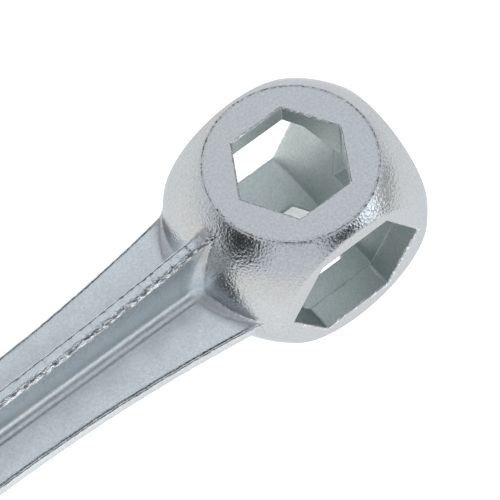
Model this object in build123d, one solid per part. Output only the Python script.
# Ten-in-one bone wrench: one steel forging, a ball head at each end of a cross-shaped shank,
# with a hexagon socket in each of the five flat faces of each head.
# The wrench is one piece of metal.  It is written out as its seven named regions, which meet
# face to face: two heads, the core of the shank and the shank's four ribs.
# Millimetres, +Z up.  X runs along the shank.  The origin is on the surface that the wrench
# rests on, under the middle of the shank.
from build123d import *
import os
from math import asin, degrees, radians, tan

# ---- overall sizes ----
overall_length = 105.0      # from one end face to the other
ball_radius = 13.6          # outside of each ball head

# ---- flat faces of a head, each measured from the ball's centre ----
top_face = 10.3
bottom_face = 9.7
large_side_face = 9.7       # the side with the larger side socket
small_side_face = 10.0      # the side with the smaller one
end_face = 11.1

# ---- hexagon sockets of each head, across flats ----
near_sockets = {"large_side": 15.0, "small_side": 14.0, "top": 11.0, "bottom": 8.0, "end": 7.0}
far_sockets = {"large_side": 13.0, "small_side": 12.0, "top": 10.0, "bottom": 9.0, "end": 6.0}
small_side_depth = 3.0      # where the smaller side socket gives way to the larger one
socket_rise = 0.3           # the side and end sockets are punched this far above the ball's centre
bottom_punch_shift = 0.3    # the bottom socket is punched this far towards the smaller side

# ---- shank ----
rib_reach = 5.75            # from the shank's axis to a rib's edge, at the middle of the shank
rib_rise = 4.7              # each rib's edge is a long arc, this much higher at a ball's centre
rib_edge_thickness = 1.6
rib_draft = 5.0             # degrees on each side of a rib, which is thinner at its edge
valley_radius = 2.4         # fillet between two ribs
neck_length = 2.5           # how much of the shank belongs to a head's region

# ---- worked out from the sizes above ----
head_offset = overall_length / 2 - end_face
neck_plane = head_offset - ball_radius - neck_length
rib_arc_radius = (head_offset**2 + rib_rise**2) / (2 * rib_rise)
rib_root_half = rib_edge_thickness / 2 + rib_reach * tan(radians(rib_draft))
core_half_width = rib_root_half + valley_radius
beyond = 4 * ball_radius    # longer than anything that it cuts


def rib(turn):
    """One full-length rib that stands on the axis, turned about X into its place.
    Its drafted section is swept about the centre of the arc that its edge follows."""
    foot_depth = rib_reach
    foot_half = rib_edge_thickness / 2 + (rib_reach + foot_depth) * tan(radians(rib_draft))
    corners = [
        (-foot_half, -foot_depth),
        (foot_half, -foot_depth),
        (rib_edge_thickness / 2, rib_reach),
        (-rib_edge_thickness / 2, rib_reach),
    ]
    section = Plane.YZ * make_face(Polyline(*corners, close=True))
    arc_axis = Axis((0, 0, rib_reach + rib_arc_radius), (0, 1, 0))
    half_angle = degrees(asin(head_offset / rib_arc_radius))
    swept = revolve(section.rotate(arc_axis, -half_angle), arc_axis, 2 * half_angle)
    above_axis = Pos(0, 0, beyond / 2) * Box(2 * head_offset, beyond, beyond)
    return Rot(turn, 0, 0) * (swept & above_axis)


def is_valley(edge):
    """True for the long edges where two ribs meet."""
    middle = edge @ 0.5
    return edge.length > head_offset and abs(abs(middle.Y) - abs(middle.Z)) < rib_edge_thickness / 4


def cross_shank():
    """The four ribs as one cross-shaped bar, with a fillet in each valley."""
    bar = rib(0) + rib(90) + rib(180) + rib(270)
    return bar.fillet(valley_radius, [edge for edge in bar.edges() if is_valley(edge)])


def inside_the_flats():
    """All the space inside the flats of both heads, which trim the balls and the ribs alike."""
    width = large_side_face + small_side_face
    height = top_face + bottom_face
    middle = Pos(
        overall_length / 4,
        (large_side_face - small_side_face) / 2,
        (top_face - bottom_face) / 2,
    )
    near_half = middle * Box(overall_length / 2, width, height)
    return near_half + Rot(0, 0, 180) * near_half


def socket(across_flats, start, direction):
    """A hexagon bar from a point outwards, with two corners along X, or along Y where the
    bar itself runs along X."""
    corner_direction = (0, 1, 0) if direction[0] else (1, 0, 0)
    mouth = Plane(origin=start, x_dir=corner_direction, z_dir=direction)
    return extrude(mouth * RegularPolygon(across_flats / 2, 6, major_radius=False), beyond)


def head_sockets(sizes):
    """The five sockets about the ball's centre.  The larger side socket runs across the
    ball and opens all the others."""
    cavity_end = small_side_depth - small_side_face
    return [
        socket(sizes["large_side"], (0, cavity_end, socket_rise), (0, 1, 0)),
        socket(sizes["small_side"], (0, 0, socket_rise), (0, -1, 0)),
        socket(sizes["top"], (0, 0, 0), (0, 0, 1)),
        socket(sizes["bottom"], (0, -bottom_punch_shift, 0), (0, 0, -1)),
        socket(sizes["end"], (0, 0, socket_rise), (1, 0, 0)),
    ]


def forging():
    """The whole wrench about the shank's axis, in one solid."""
    near_place = Pos(head_offset, 0, 0)
    far_place = Pos(-head_offset, 0, 0) * Rot(0, 0, 180)
    blank = cross_shank() + near_place * Sphere(ball_radius) + far_place * Sphere(ball_radius)
    blank &= inside_the_flats()
    for place, sizes in ((near_place, near_sockets), (far_place, far_sockets)):
        for hexagon in head_sockets(sizes):
            blank -= place * hexagon
    return blank


def regions(whole):
    """The wrench's named regions, each one a solid of its own."""
    shank_only = Box(2 * neck_plane, beyond, beyond)
    near_side = Pos(neck_plane + beyond / 2, 0, 0) * Box(beyond, beyond, beyond)
    far_side = Pos(-neck_plane - beyond / 2, 0, 0) * Box(beyond, beyond, beyond)
    core = Box(2 * neck_plane, 2 * core_half_width, 2 * core_half_width)
    rib_space = Pos(0, 0, core_half_width + beyond / 2) * Box(2 * neck_plane, beyond, beyond)
    named = {
        "near_head": whole & near_side,
        "far_head": whole & far_side,
        "shank_core": whole & shank_only & core,
    }
    for name, turn in (("top_rib", 0), ("front_rib", 90), ("bottom_rib", 180), ("back_rib", 270)):
        named[name] = whole & Rot(turn, 0, 0) * rib_space
    return named


os.makedirs("parts", exist_ok=True)
for name, region in regions(forging()).items():
    placed = Pos(0, 0, bottom_face) * region
    placed.label = name
    export_step(placed, f"parts/{name}.step")
    print(name, round(placed.volume, 1), "mm3,", len(placed.solids()), "solid")
